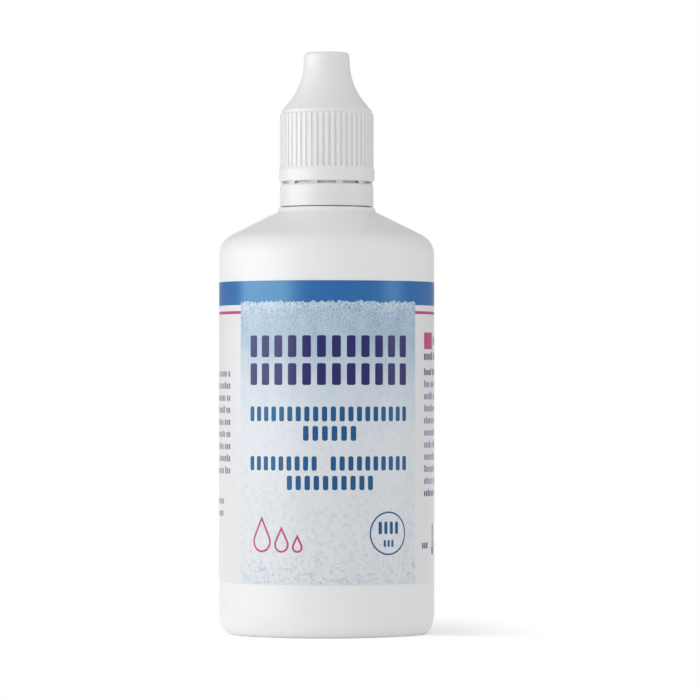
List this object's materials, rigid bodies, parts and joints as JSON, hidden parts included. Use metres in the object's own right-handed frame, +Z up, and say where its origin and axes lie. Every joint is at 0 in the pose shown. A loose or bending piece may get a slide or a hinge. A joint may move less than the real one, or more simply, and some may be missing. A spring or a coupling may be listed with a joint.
{
  "type": "squeeze bottle",
  "caption": "Round squeeze bottle for eye-care solution, with a press-in drip nozzle, a tall ribbed screw cap, a breakable tamper band and a wrap-around label.",
  "frame": {"origin": "middle of the base, on the surface that the bottle stands on", "axes": "+Z up along the bottle's axis, -Y towards the front of the label, +X to the right seen from the front"},
  "size_m": [0.0442, 0.0443, 0.1192],
  "materials": {
    "bottle_wall": "blow-moulded low-density polyethylene, opaque white, soft gloss",
    "insert": "injection-moulded low-density polyethylene, natural white",
    "cap": "injection-moulded polypropylene, white, satin gloss",
    "label": null,
    "solution": "clear watery liquid"
  },
  "bodies": {
    "bottle": {"bottle": "bottle_wall", "dropper_insert": "insert", "label": "label", "solution": "solution"},
    "band": {"tamper_band": "cap", "band_bridges": "cap"},
    "cap": {"screw_cap": "cap"}
  },
  "joints": [
    {"name": "cap_turn", "type": "hinge", "parent": "bottle", "child": "band", "pos_m": [0, 0, 0.0985], "axis": [0, 0, 1], "range_deg": [0, 540]},
    {"name": "cap_rise", "type": "slide", "parent": "band", "child": "cap", "axis": [0, 0, 1], "range_m": [0, 0.0045]}
  ],
  "couplings": [
    {"joint": "cap_turn", "follows": "cap_rise", "rad_per_m": 2094.4}
  ]
}
